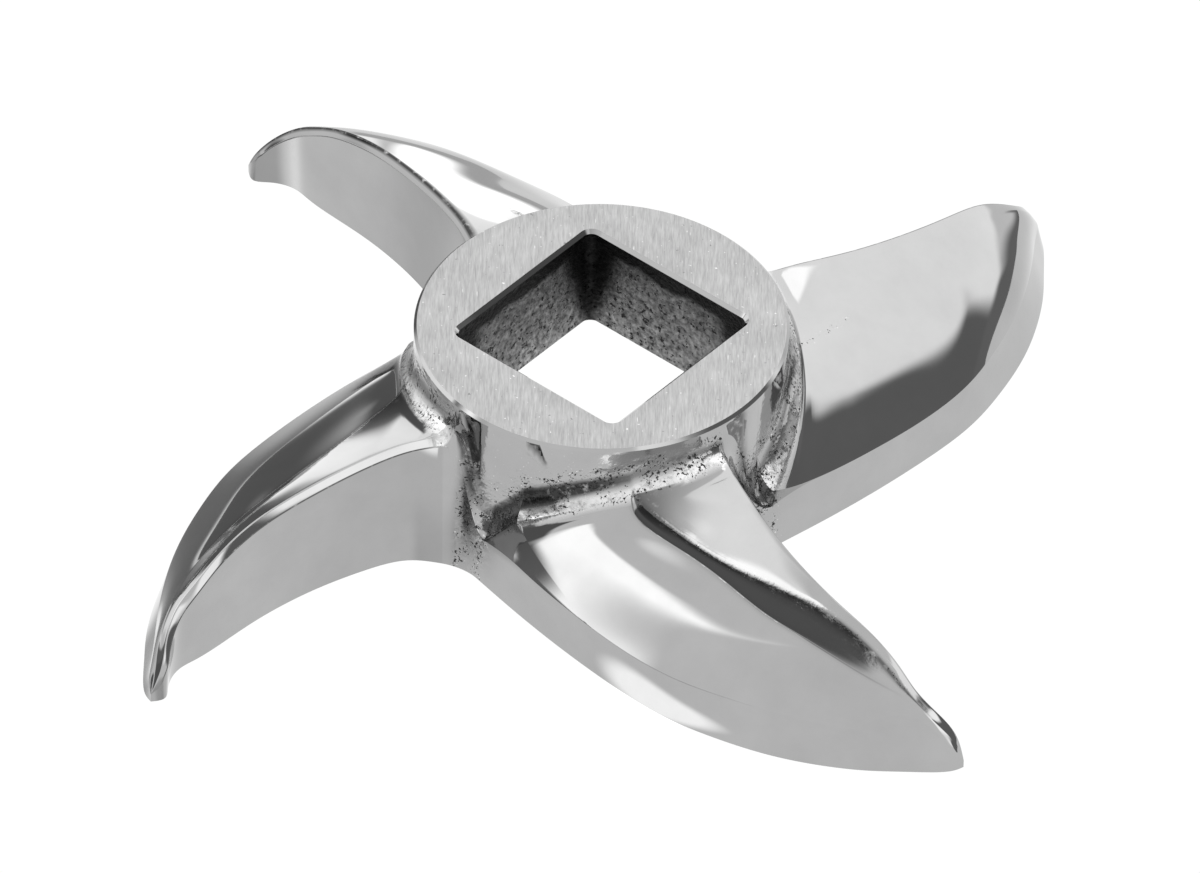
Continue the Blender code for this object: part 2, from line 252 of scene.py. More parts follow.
def blade_rows(u, smooth=False):
    """The grid of blade 0 at the station values u, as (rows, len(u), 3), from the leading
    bottom edge over the crest to the trailing bottom edge; and the rows of its creases.
    A smooth blade is one whose step and facet were ground away."""
    n = len(u)
    lead, trail = spline(LEAD, u), spline(TRAIL, u)
    crest, land, band = spline(CREST, u), spline(LAND, u), spline(BAND, u)
    zero = np.zeros((n, 1))
    lead, trail = np.hstack([lead, zero]), np.hstack([trail, zero])
    inward = level(crest - trail)
    edge = trail + inward * np.maximum(band[:, :1], 0.0)
    edge[:, 2] = band[:, 1]
    # The bevel in front of the crest closes up at the tip.
    narrow = np.clip((len(LEAD) - 1 - u) / 1.5, 0.0, 1.0)
    top = crest + level(crest - land) * (BEVEL_WIDTH * narrow)[:, None]
    top[:, 2] -= BEVEL_HEIGHT * narrow

    # Near the root the sections bend with the hub's circle.
    round_hub = np.clip(1.0 - u / 1.6, 0.0, 1.0) ** 1.5

    def heading(chord, at):
        along = level(np.stack([at[:, 1], -at[:, 0], np.zeros(len(at))], axis=1))
        mixed = level(chord) * (1.0 - round_hub)[:, None] + along * round_hub[:, None]
        return level(mixed)

    def size(v):
        return np.linalg.norm(v, axis=1)

    none = np.zeros(n)
    # The fillets over the wall and the band close up at the very tip.
    shut = np.clip((len(LEAD) - 1 - u) / 0.5, 0.0, 1.0)
    # Leading wall and bevel
    wall = straight(lead, top, trimmed(size(top - lead), none, ROUND_TOP * shut, WALL))
    bevel = straight(top, crest, trimmed(size(crest - top), none + ROUND_TOP, none + ROUND_CREST, ACROSS_BEVEL))
    # Land: nearly level at the crest, falling to its back edge.
    run = np.linalg.norm((land - crest)[:, :2], axis=1)
    fall = np.arctan2(crest[:, 2] - land[:, 2], np.maximum(run, 1e-6))
    reach = size(land - crest)
    share = spline(LAND_SLOPES, u)
    top_land = hermite(
        crest, land,
        sloped(heading(land - crest, crest), share[:, 0] * fall, reach),
        sloped(heading(land - crest, land), share[:, 1] * fall, reach),
        trimmed(reach, none + ROUND_CREST, none + ROUND_LAND, ACROSS_LAND),
    )
    # Step: a 45 degree slope down from the land's back edge.
    step = np.maximum(spline(STEP, u), 0.0)
    if smooth:
        step = step * (1.0 - 0.65 * ease(u, 3.0, 5.0))[:, None]
    foot = land + heading(edge - land, land) * step
    foot[:, 2] -= step[:, 0]
    drop = straight(land, foot, trimmed(size(foot - land), none + ROUND_LAND, none + ROUND_FOOT, ACROSS_STEP))
    # Back: flat behind the step, rolling over towards the band.
    slopes = np.radians(spline(FULL_SLOPES if smooth else BACK_SLOPES, u))
    reach = size(edge - foot) * 1.05
    swell = spline(BACK_SWELL, u) * shut[:, None]

    def back_at(t):
        curve = hermite(
            foot, edge,
            sloped(heading(edge - foot, foot), slopes[:, 0], reach),
            sloped(heading(edge - foot, edge), slopes[:, 1], reach),
            t,
        )
        hump = 16.0 * (t * (1.0 - t)) ** 2
        curve[:, :, 2] += hump * (swell[:, :1] + swell[:, 1:] * (2.0 * t - 1.0) * 2.0)
        return curve

    soft = ROUND_EDGE + (0.0 if smooth else ROLL_EDGE) * ease(u, 1.9, 4.5) * (1.0 - ease(u, 8.0, 10.0))
    t = trimmed(size(edge - foot), none + ROUND_FOOT, soft, ACROSS_BACK)
    kept = np.minimum((1.0 if smooth else BROW) + BROW_GAIN * u, 1.0)[:, None]
    back = back_at(t * kept)
    brow = back_at(kept)[:, 0]
    edge = edge.copy()
    edge[:, 2] -= EDGE_DROP * np.clip(1.0 - u, 0.0, 1.0) ** 2
    wide = size(edge - brow)
    facet = straight(brow, edge, trimmed(wide, none + ROUND_EDGE, none + ROUND_EDGE, ACROSS_FACET))
    skirt = straight(edge, trail, trimmed(size(trail - edge), soft * shut, none, WALL))
    # Where the facet ends, its rows make one fillet between the back and the band.
    flat = rounded(back[:, -1], brow, facet[:, 0]) + [facet[:, j] for j in range(facet.shape[1])]
    flat += rounded(facet[:, -1], edge, skirt[:, 0])
    share = np.clip(wide / (4.0 * ROUND_EDGE), 0.0, 1.0)[:, None]
    for j in range(len(flat)):
        x = (j + 1.0) / (len(flat) + 1.0)
        bend = (1 - x) ** 3 * back[:, -1] + 3 * x * (1 - x) ** 2 * brow + 3 * x**2 * (1 - x) * edge + x**3 * skirt[:, 0]
        flat[j] = flat[j] * share + bend * (1.0 - share)

    rows, marks = [], {}
    sides = [
        ("wall", wall, top), ("bevel", bevel, crest), ("land", top_land, land),
        ("step", drop, foot), ("back", back, None), ("band", skirt, None),
    ]
    for i, (name, side, corner) in enumerate(sides):
        marks[name] = len(rows)
        rows += [side[:, j] for j in range(side.shape[1])]
        if corner is not None:
            rows += rounded(side[:, -1], corner, sides[i + 1][1][:, 0])
        if name == "back":
            rows += flat
    rows = np.array(rows)
    if smooth:
        a = marks["land"] + ACROSS_LAND // 3
        b = marks["back"] + ACROSS_BACK // 2
        path = np.cumsum(np.linalg.norm(np.diff(rows[a : b + 1], axis=0), axis=2), axis=0)
        share = np.vstack([np.zeros((1, n)), path / path[-1:]]).T
        span = size(rows[b] - rows[a])[:, None]
        out_a = rows[a + 1] - rows[a - 1]
        out_b = rows[b + 1] - rows[b - 1]
        out_a, out_b = (v / np.maximum(np.linalg.norm(v, axis=1, keepdims=True), 1e-9) for v in (out_a, out_b))
        ground = hermite(rows[a], rows[b], out_a * span, out_b * span, share).transpose(1, 0, 2)
        keep = ease(u, 6.2, 7.8)[None, :, None]
        rows[a : b + 1] = rows[a : b + 1] * keep + ground * (1.0 - keep)
        # At the hub its band is the same as the others', so the valleys meet.
        plain, _ = blade_rows(u)
        near = np.clip((np.arange(len(rows)) - marks["band"] + 12.0) / 10.0, 0.0, 1.0)
        share = near[:, None, None] * (1.0 - ease(u, 0.05, 0.6))[None, :, None]
        return rows + (plain - rows) * share + curled(rows, u, marks) * (1.0 - share), marks
    return rows + curled(rows, u, marks), marks


def curled(rows, u, marks):
    """The lift of the blade's top towards the root fillet, for each point."""
    lift = np.zeros_like(rows)
    curl = ROOT_LIFT * np.clip(1.0 - u / ROOT_REACH, 0.0, 1.0) ** 2
    lift[:, :, 2] = top_share(len(rows), marks)[:, None] * curl[None, :]
    return lift


def top_share(count, marks):
    """1 on the rows of the blade's top, falling to 0 over the bevel and over the facet."""
    i = np.arange(count, dtype=float)
    rising = np.clip((i - marks["bevel"]) / 8.0, 0.0, 1.0)
    falling = np.clip((marks["band"] - 3 - i) / 9.0, 0.0, 1.0)
    return np.minimum(rising, falling)


def turned(points, quarter):
    """Points turned about Z by a number of right angles."""
    c, s = [(1, 0), (0, 1), (-1, 0), (0, -1)][quarter % 4]
    x, y = points[..., 0], points[..., 1]
    return np.stack([c * x - s * y, s * x + c * y, points[..., 2]], axis=-1)


def knife_grids(smooth=False):
    """Blade grid (rows, along, 3), root grid (rows up, columns, 3) over the blade's top,
    and valley grid (rows up, round, 3) to the next blade, all for blade 0."""
    last = len(LEAD) - 1
    u = last * (1.0 - (1.0 - np.linspace(0.0, 1.0, ALONG + 1)) ** TIP_BUNCHING)
    rows, marks = blade_rows(u, smooth)
    ahead, _ = blade_rows(np.array([0.0, 0.02]), smooth)
    away = (ahead[:, 0] - ahead[:, 1]) / 0.02  # towards the hub, per row
    first = marks["bevel"] - 2  # in the fillet over the leading wall
    final = marks["band"] - 2  # in the fillet at the band's edge

    # Root fillet: each line over the blade's top runs on into the hub's side.
    foot = rows[first : final + 1, 0]
    dirs = away[first : final + 1]
    dirs = dirs / np.linalg.norm(dirs, axis=1, keepdims=True)
    angle = np.arctan2(foot[:, 1], foot[:, 0])
    angle = np.minimum.accumulate(angle + 0.0)
    radius = np.hypot(foot[:, 0], foot[:, 1])
    gap = radius - HUB_R
    rise = ROOT_RISE + 0.5 * gap
    head = np.stack(
        [HUB_R * np.cos(angle), HUB_R * np.sin(angle), np.minimum(foot[:, 2] + rise, HUB_TOP - 1.0)],
        axis=1,
    )
    inward = -np.stack([np.cos(angle), np.sin(angle), np.zeros_like(angle)], axis=1)
    # The lines of the blade meet the hub obliquely; the fillet turns them towards it.
    toward = 0.35 * dirs + 0.65 * inward
    toward[:, 2] = 0.55 * top_share(len(rows), marks)[first : final + 1]
    up = np.zeros_like(head)
    up[:, 2] = 1.0
    size = (gap + rise)[:, None]
    root = hermite(foot, head, toward * gap[:, None] * 1.5, up * size, np.linspace(0.0, 1.0, ROOT + 1))
    root = root.transpose(1, 0, 2)
    side = []
    low = root[-1][:, 2]
    for share in np.linspace(0.0, 1.0, SIDE + 1)[1:]:
        z = low + (HUB_TOP - RIM_CHAMFER - low) * share
        side.append(np.stack([HUB_R * np.cos(angle), HUB_R * np.sin(angle), z], axis=1))
    r = HUB_R - RIM_CHAMFER
    side.append(np.stack([r * np.cos(angle), r * np.sin(angle), np.full_like(angle, HUB_TOP)], axis=1))
    root = np.concatenate([root, np.array(side)])

    # Valley: from the leading wall round to the next blade's trailing band.
    left = np.concatenate([rows[:first, 0], root[:, 0]])
    band_rows = rows[final + 1 :, 0]
    band_rows = band_rows[::-1]
    right_low = resampled(band_rows, first)
    band_side = np.concatenate([right_low, root[:, -1]])
    right = turned(band_side, 1)
    count = len(left)
    flow = np.zeros((count, 3))
    flow_end = np.zeros((count, 3))
    span = np.linalg.norm(right - left, axis=1)
    ring = level(np.stack([-left[:, 1], left[:, 0], np.zeros(count)], axis=1))
    ring_end = level(np.stack([-right[:, 1], right[:, 0], np.zeros(count)], axis=1))
    wall_dir = level(away[: first + 1])
    wall_end = level(turned(-away[final:][::-1], 1))
    for j in range(count):
        blend = min(1.0, max(0.0, (j - first * 0.5) / (first + ROOT * 0.5)))
        a = wall_dir[min(j, first)]
        b = wall_end[min(j, len(wall_end) - 1)]
        flow[j] = (a * (1 - blend) + ring[j] * blend) * span[j]
        flow_end[j] = (b * (1 - blend) + ring_end[j] * blend) * span[j]
    t = np.linspace(0.0, 1.0, VALLEY + 1)
    valley = hermite(left, right, flow * 0.95, flow_end * 0.95, t)
    # The side and the rim stay on the hub's cylinder.
    for j in range(first + ROOT, count):
        a0 = math.atan2(left[j, 1], left[j, 0])
        a1 = math.atan2(right[j, 1], right[j, 0])
        a = a0 + (a1 - a0) * t
        r = HUB_R - (RIM_CHAMFER if j == count - 1 else 0.0)
        z = valley[j, :, 2].copy()
        valley[j] = np.stack([r * np.cos(a), r * np.sin(a), z], axis=1)
    return rows, root, valley, marks, first, final


def resampled(line, count):
    """A line of points read at evenly shared indices, count points from its first."""
    at = np.linspace(0.0, len(line) - 1.0, count)
    k = np.minimum(at.astype(int), len(line) - 2)
    f = (at - k)[:, None]
    return line[k] * (1 - f) + line[k + 1] * f


def rounded_square(flats, corner, segments):
    """Outline points of a square with rounded corners, anticlockwise from +X."""
    h, points = flats / 2.0, []
    arc = 10
    for q in range(4):
        centre = (h - corner, h - corner)
        line = []
        for i in range(segments):  # from the middle of the +X side up to the corner
            line.append((h, (h - corner) * i / segments))
        for i in range(arc + 1):
            a = math.pi / 2 * i / arc
            line.append((centre[0] + corner * math.cos(a), centre[1] + corner * math.sin(a)))
        for i in range(1, segments):
            line.append(((h - corner) * (1 - i / segments), h))
        c, s = [(1, 0), (0, 1), (-1, 0), (0, -1)][q]
        points += [(c * x - s * y, s * x + c * y) for x, y in line]
    return np.array(points)


class Casting:
    """Collects points that meet at 0.5 micrometres, each with its share of rough cast skin and its painted light
    (painted shade above zero, painted highlight below zero), and faces with a finish each."""

    def __init__(self):
        self.known, self.points, self.skin, self.painted_light = {}, [], [], []
        self.faces, self.finish = [], []

    def vert(self, p, skin=0.0, painted_light=0.0):
        key = tuple(int(round(c * 2000.0)) for c in p)
        if key not in self.known:
            self.known[key] = len(self.points)
            self.points.append([float(c) for c in p])
            self.skin.append(0.0)
            self.painted_light.append(0.0)
        i = self.known[key]
        self.skin[i] = max(self.skin[i], float(skin))
        if abs(painted_light) > abs(self.painted_light[i]):
            self.painted_light[i] = float(painted_light)
        return i

    def face(self, ring, finish):
        flat = []
        for v in ring:
            if v not in flat:
                flat.append(v)
        if len(flat) > 2:
            self.faces.append(flat)
            self.finish.append(finish)

    def grid(self, grid, finish, closed=False, skin=None, painted_light=None):
        none = np.zeros(grid.shape[:2])
        skin = none if skin is None else skin
        painted_light = none if painted_light is None else painted_light
        ids = [[self.vert(*values) for values in zip(*line)] for line in zip(grid, skin, painted_light)]
        wide = len(ids[0]) - (0 if closed else 1)
        for i in range(len(ids) - 1):
            for j in range(wide):
                k = (j + 1) % len(ids[0])
                self.face([ids[i][j], ids[i][k], ids[i + 1][k], ids[i + 1][j]], finish)
        return ids

    def plate(self, outer, inner, finish):
        """A flat face between two closed outlines."""
        loops = [[Vector(p) for p in outer], [Vector(p) for p in inner]]
        flat = loops[0] + loops[1]
        ids = [self.vert(p) for p in flat]
        for tri in geometry.tessellate_polygon(loops):
            self.face([ids[i] for i in tri], finish)


POLISHED, GROUND, HOLE, UNDER, CUTTING = range(5)


def skins(rows, root, valley, marks, first, final, quarter):
    """How much of the rough cast skin is left on each point of the three grids: all of it round the root and in the
    valley, and a thin line of it under the land's back edge; and the painted light on each point: painted shade in the
    folds and painted highlights."""
    smooth = quarter < 2
    last = len(LEAD) - 1
    u = last * (1.0 - (1.0 - np.linspace(0.0, 1.0, rows.shape[1])) ** TIP_BUNCHING)
    i = np.arange(len(rows))[:, None]
    on_top = ((i >= first) & (i <= final)).astype(float)
    blade = on_top * (1.0 - ease(u, 0.0, 0.30))[None, :]
    blade = np.maximum(blade, 0.7 * (i > final) * (1.0 - ease(u, 0.0, 0.35))[None, :])
    until = (1.6, 2.8) if smooth else (7.5, 9.0)
    crease = np.exp(-(((i - marks["step"] + 1.0) / 2.2) ** 2)) * (1.0 - ease(u, *until))[None, :]
    blade = np.maximum(blade, 0.9 * crease)
    height = np.zeros(len(root))
    height[ROOT:] = np.linspace(0.0, 1.0, len(root) - ROOT)
    up = 1.0 - 0.78 * ease(height, 0.03, 0.50)
    up[-2:] = 0.0
    foot = np.repeat(up[:, None], root.shape[1], axis=1)
    t = np.linspace(0.0, 1.0, valley.shape[1])
    tall = np.ones(len(valley))
    tall[len(valley) - len(root) :] = up
    groove = ease(t, 0.16, 0.34)[None, :] * tall[:, None]

    # Painted shade in the folds, and a painted highlight, below zero, on the root's lip.
    fold = np.exp(-(((i - marks["step"] + 0.5) / 1.3) ** 2)) * (1.0 - ease(u, 8.0, 9.3))[None, :]
    foot_line = np.exp(-(((i - marks["step"] - ACROSS_STEP - 2.0) / 1.6) ** 2)) * (1.0 - ease(u, 5.0, 8.0))[None, :]
    wide = (2.0 + 5.5 * (1.0 - ease(u, 0.2, 1.9)))[None, :]
    shade = np.exp(-(((i - marks["step"] + 1.0) / wide) ** 2)) * (i <= marks["step"] + 2) * (1.0 - ease(u, 1.2, 2.6))[None, :]
    fold = np.maximum(np.maximum(0.9 * fold, 0.75 * foot_line), 0.85 * shade)
    if smooth:
        fold = np.zeros_like(fold)
    # Painted shade on the facet next to the root.
    fin = ((i >= marks["band"] - 3 - ACROSS_FACET - FILLET) & (i < marks["band"])) * (1.0 - ease(u, 0.1, 1.5))[None, :]
    fold = np.maximum(fold, 0.3 * fin)
    # A thin painted dark reflection line along the crest, or along the wall's top.
    line = marks["bevel"] if quarter == 2 else marks["land"]
    before, after = LINE_ROWS[quarter]
    seam = ((i >= line - before) & (i < line + after)) * (ease(u, 0.1, 0.6) * (1.0 - ease(u, 9.5, 10.5)))[None, :]
    fold = np.maximum(fold, LINE_TONE[quarter] * seam)
    # Round the root: a painted highlight on the lip, painted shade in the groove above it and on the facet's root; in
    # the valley, painted shade down its middle.
    rise = (np.arange(len(root)) / ROOT)[:, None]
    across = np.linspace(0.0, 1.0, root.shape[1])[None, :]
    thick = 0.10 * ease(across, 0.35, 0.75) * (1.0 - ease(across, 0.9, 1.0))
    lip = -0.8 * (1.0 - ease(rise, 0.30, 0.50)) * ease(rise, -0.1, 0.15)
    dip = ease(rise, 0.50 - thick, 0.64 - thick) * (1.0 - ease(rise, 0.74 + thick, 0.88 + thick))
    if smooth:
        dip = 0.6 * ease(rise, 0.55, 0.62) * (1.0 - ease(rise, 0.70, 0.80))
    sides = lip * (dip < 0.05) + dip * (0.55 + 0.45 * ease(across, 0.3, 0.6))
    sides[:ROOT, -(ACROSS_FACET + FILLET) :] = 0.6
    well = np.exp(-(((t - 0.52) / 0.16) ** 2))[None, :] * (0.75 * tall * (np.arange(len(valley)) > 0.35 * first))[:, None]
    # Painted darker reflections on the leading walls, and a painted highlight stripe near one tip.
    hub_end_shade, end = WALL_PAINTED_SHADE[quarter]
    stain_and_painted_light = hub_end_shade * (1.0 - ease(u, 2.0, 5.5)) + end * ease(u, 8.4, 8.9)
    if quarter == 1:
        stain_and_painted_light = stain_and_painted_light - 0.5 * np.exp(-(((u - 7.95) / 0.42) ** 2))
    fold = fold + stain_and_painted_light[None, :] * (i < marks["bevel"] - 3)
    # A painted highlight on the blade's top next to the root.
    blade_lip_highlight = -0.5 * on_top * (1.0 - ease(u, 0.0, 0.22))[None, :] * (shade < 0.3)
    fold = np.where(np.abs(blade_lip_highlight) > np.abs(fold), blade_lip_highlight, fold)
    return (blade, foot, groove), (fold, sides, well)


def knife_mesh():
    cast = Casting()
    top, bottom = [], []
    for k in range(4):
        if k in (0, 2):  # blades 0 and 1 are the smooth ones
            rows, root, valley, marks, first, final = knife_grids(smooth=k == 0)
        skin, painted_light = skins(rows, root, valley, marks, first, final, k)
        r, f, v = turned(rows, k), turned(root, k), turned(valley, k)
        for grid, rough, dark in zip((r, f, v), skin, painted_light):
            cast.grid(grid, POLISHED, skin=rough, painted_light=dark)
        # Close the small difference between the band's rows and the valley's.
        low = turned(rows[final + 1 :, 0][::-1], k)
        # The band's rows and the valley's must share their points; seam raises an error if their counts differ.
        ring = turned(resampled(rows[final + 1 :, 0][::-1], first), k)
        seam(cast, low, ring, POLISHED)
        top += list(f[-1][::-1]) + list(v[-1])
        bottom += list(r[-1]) + list(r[0][::-1]) + list(v[0])
    return cast, top, bottom, marks


def seam(cast, a, b, finish):
    """Nothing to do where both lines have the same points."""
    if len(a) == len(b):
        return
    raise RuntimeError("the band and the leading wall need the same number of rows")


# Pockets in the hub's side between the root's webs: corners as degrees from the blade's
# axis and height, and depth.
POCKETS = [
    ([(15.5, 15.35), (21.5, 15.4), (24.5, 13.1)], 0.40),
    ([(-8.0, 15.2), (1.0, 15.35), (0.6, 10.2), (-3.5, 10.4)], 0.35),
]


def pocket_depth(angle, z):
    """Depth of the pockets at arrays of angle, in degrees, and height."""
    depth = np.zeros(len(z))
    arc = math.radians(1.0) * HUB_R
    for corners, deep in POCKETS:
        inside = np.full(len(z), 9.0)
        for (a0, z0), (a1, z1) in zip(corners, corners[1:] + corners[:1]):
            dx, dz = (a1 - a0) * arc, z1 - z0
            inside = np.minimum(inside, ((z0 - z) * dx - (a0 - angle) * arc * dz) / math.hypot(dx, dz))
        depth = np.maximum(depth, deep * ease(inside, -0.1, 0.35))
    return depth


def roughen(cast):
    """Sinks the pockets and gives the cast skin its lumps, as a shift in and out from the hub
    and up and down."""
    p, skin = np.array(cast.points), np.array(cast.skin)
    angle = (np.degrees(np.arctan2(p[:, 1], p[:, 0])) + 20.0) % 90.0 - 20.0
    radius = np.hypot(p[:, 0], p[:, 1])
    side = (np.abs(radius - HUB_R) < 0.02) & (p[:, 2] < HUB_TOP - RIM_CHAMFER - 0.02)
    sunk = np.where(side, pocket_depth(angle, p[:, 2]), 0.0)
    out = -sunk
    # Painted shade in the pockets, darker the deeper they are.
    painted_light = np.array(cast.painted_light)
    cast.painted_light = np.where(sunk > 0.05, np.maximum(painted_light, np.minimum(sunk * 2.2, 0.85)), painted_light).tolist()
    lift = np.zeros(len(p))
    for i in np.nonzero((skin > 0.02) & (p[:, 2] > 0.3))[0]:
        at = Vector(p[i])
        lump = 0.055 * noise.noise(at * 0.75) + 0.022 * noise.noise(at * 1.9)
        out[i] += skin[i] * lump
        lift[i] = skin[i] * (0.045 * noise.noise(at * 0.8 + Vector((9.0, 4.0, 2.0))) + 0.018 * noise.noise(at * 2.1))
    scale = 1.0 + out / np.maximum(radius, 1e-6)
    p[:, 0] *= scale
    p[:, 1] *= scale
    p[:, 2] += lift
    cast.points = p.tolist()


def build():
    cast, top, bottom, marks = knife_mesh()

    def tidy(line):
        out = []
        for p in line:
            key = cast.vert(p)
            if not out or out[-1][0] != key:
                out.append((key, p))
        if out[0][0] == out[-1][0]:
            out.pop()
        return [p for _, p in out]

    n = 26
    lead, rel = SQUARE_LEAD_IN, RELIEF_LEAD_IN

    def ring(flats, corner, z):
        xy = rounded_square(flats, corner, n)
        return np.column_stack([xy, np.full(len(xy), z)])

    wall_z = np.linspace(HUB_TOP - lead, UNDERSIDE + lead, 13)
    hole = [ring(SQUARE + 2 * lead, SQUARE_CORNER + lead, HUB_TOP)]
    hole += [ring(SQUARE, SQUARE_CORNER, z) for z in wall_z]
    hole += [ring(SQUARE + 2 * lead, SQUARE_CORNER + lead, UNDERSIDE)]
    # The lead-in gets painted shade on its far left side.
    lead_in = np.array(hole[:2])
    left = lead_in @ (-math.cos(TURN), -math.sin(TURN), 0.0)
    far = lead_in @ (-math.sin(TURN), math.cos(TURN), 0.0)
    cast.grid(lead_in, POLISHED, closed=True, painted_light=0.44 * ease(left, 0.2, 1.6) * ease(far, 0.2, 1.6))
    cast.grid(np.array(hole[1:]), HOLE, closed=True)
    under = [
        ring(SQUARE + 2 * lead, SQUARE_CORNER + lead, UNDERSIDE),
        ring(RELIEF, RELIEF_CORNER, UNDERSIDE),
        ring(RELIEF, RELIEF_CORNER, 3.6),
        ring(RELIEF, RELIEF_CORNER, 2.0),
        ring(RELIEF, RELIEF_CORNER, rel),
        ring(RELIEF + 2 * rel, RELIEF_CORNER + rel, 0.0),
    ]
    cast.grid(np.array(under), UNDER, closed=True)
    cast.plate(tidy(top), hole[0], GROUND)
    cast.plate(tidy(bottom), under[-1], CUTTING)

    roughen(cast)
    mesh = bpy.data.meshes.new("knife_casting")
    mesh.from_pydata([[c * MM for c in p] for p in cast.points], [], cast.faces)
    mesh.attributes.new("skin", "FLOAT", "POINT").data.foreach_set("value", cast.skin)
    # painted_light: painted shade above zero, painted highlight below zero.
    mesh.attributes.new("painted_light", "FLOAT", "POINT").data.foreach_set("value", cast.painted_light)
    mesh.polygons.foreach_set("material_index", cast.finish)
    bm = bmesh.new()
    bm.from_mesh(mesh)
    # The hub's flat top leaves out the finest steps of its rim, so the slivers there are filled.
    bmesh.ops.holes_fill(bm, edges=[e for e in bm.edges if e.is_boundary], sides=12)
    bmesh.ops.recalc_face_normals(bm, faces=bm.faces[:])
    bm.to_mesh(mesh)
    bm.free()
    mesh.shade_smooth()
    knife = bpy.data.objects.new("knife_casting", mesh)
    bpy.context.scene.collection.objects.link(knife)
    open_edges = np.zeros(len(mesh.edges), int)
    edge_of = np.zeros(len(mesh.loops), int)
    mesh.loops.foreach_get("edge_index", edge_of)
    np.add.at(open_edges, edge_of, 1)
    print("casting:", len(mesh.vertices), "points,", sum(len(p) - 2 for p in cast.faces), "triangles,", int((open_edges != 2).sum()), "open edges")
    mesh.set_sharp_from_angle(angle=math.radians(38))
    return knife


# ---------------------------------------------------------------- finishes
STEEL = 0.43  # share of light that the steel sends back


class Graph:
    """Adds nodes to a tree with one call each."""

    def __init__(self, tree):
        self.tree = tree

    def node(self, kind, **settings):
        n = self.tree.nodes.new(kind)
        for k, v in settings.items():
            setattr(n, k, v)
        return n

    def link(self, value, socket):
        if isinstance(value, (int, float)):
            socket.default_value = value
        elif isinstance(value, tuple):
            socket.default_value = value
        else:
            self.tree.links.new(value, socket)

    def math(self, operation, *values, clamp=False):
        n = self.node("ShaderNodeMath", operation=operation, use_clamp=clamp)
        for v, socket in zip(values, n.inputs):
            self.link(v, socket)
        return n.outputs[0]

    def vector(self, operation, *values):
        n = self.node("ShaderNodeVectorMath", operation=operation)
        for v, socket in zip(values, n.inputs):
            self.link(v, socket)
        return n.outputs["Value" if operation in ("DOT_PRODUCT", "LENGTH", "DISTANCE") else "Vector"]

    def step(self, value, low, high, to_low=0.0, to_high=1.0):
        """Smooth step between two values."""
        n = self.node("ShaderNodeMapRange", interpolation_type="SMOOTHSTEP")
        for v, name in ((value, "Value"), (low, "From Min"), (high, "From Max"), (to_low, "To Min"), (to_high, "To Max")):
            self.link(v, n.inputs[name])
        return n.outputs["Result"]

    def ramp(self, value, low, high, to_low=0.0, to_high=1.0):
        n = self.node("ShaderNodeMapRange")
        for v, name in ((value, "Value"), (low, "From Min"), (high, "From Max"), (to_low, "To Min"), (to_high, "To Max")):
            self.link(v, n.inputs[name])
        return n.outputs["Result"]

    def noise(self, where, scale, detail=2.0, rough=0.5, distort=0.0, out="Fac"):
        n = self.node("ShaderNodeTexNoise")
        for v, name in ((where, "Vector"), (scale, "Scale"), (detail, "Detail"), (rough, "Roughness"), (distort, "Distortion")):
            self.link(v, n.inputs[name])
        return n.outputs[out]

    def mix(self, share, a, b):
        """Numbers mixed by a share."""
        n = self.node("ShaderNodeMix", data_type="FLOAT")
        for v, i in ((share, 0), (a, 2), (b, 3)):
            self.link(v, n.inputs[i])
        return n.outputs[0]


def material(name, colour, rough, metal=1.0):
    m = bpy.data.materials.new(name)
    m.use_nodes = True
    s = m.node_tree.nodes["Principled BSDF"]
    s.inputs["Base Color"].default_value = (*colour, 1.0)
    s.inputs["Roughness"].default_value = rough
    s.inputs["Metallic"].default_value = metal
    return m

def grain(g, at, along, across, long, wide, **more):
    """Noise drawn out along a direction: streaks this long and wide, in millimetres."""
    x = g.math("MULTIPLY", g.vector("DOT_PRODUCT", at, across), 1000.0 / wide)
    y = g.math("MULTIPLY", g.vector("DOT_PRODUCT", at, along), 1000.0 / long)
    n = g.node("ShaderNodeCombineXYZ")
    g.link(x, n.inputs[0])
    g.link(y, n.inputs[1])
    return g.noise(n.outputs[0], 1.0, **more)


def bump(g, height, shader):
    """Surface height in millimetres."""
    n = g.node("ShaderNodeBump")
    n.inputs["Distance"].default_value = MM
    g.link(height, n.inputs["Height"])
    g.link(n.outputs[0], shader.inputs["Normal"])


def start(name, colour, rough):
    m = material(name, (colour, colour, colour), rough)
    g = Graph(m.node_tree)
    at = g.node("ShaderNodeTexCoord").outputs["Object"]
    return m, g, at, m.node_tree.nodes["Principled BSDF"]


def grey(g, value, shader):
    n = g.node("ShaderNodeCombineColor")
    for i in range(3):
        g.link(value, n.inputs[i])
    g.link(n.outputs[0], shader.inputs["Base Color"])


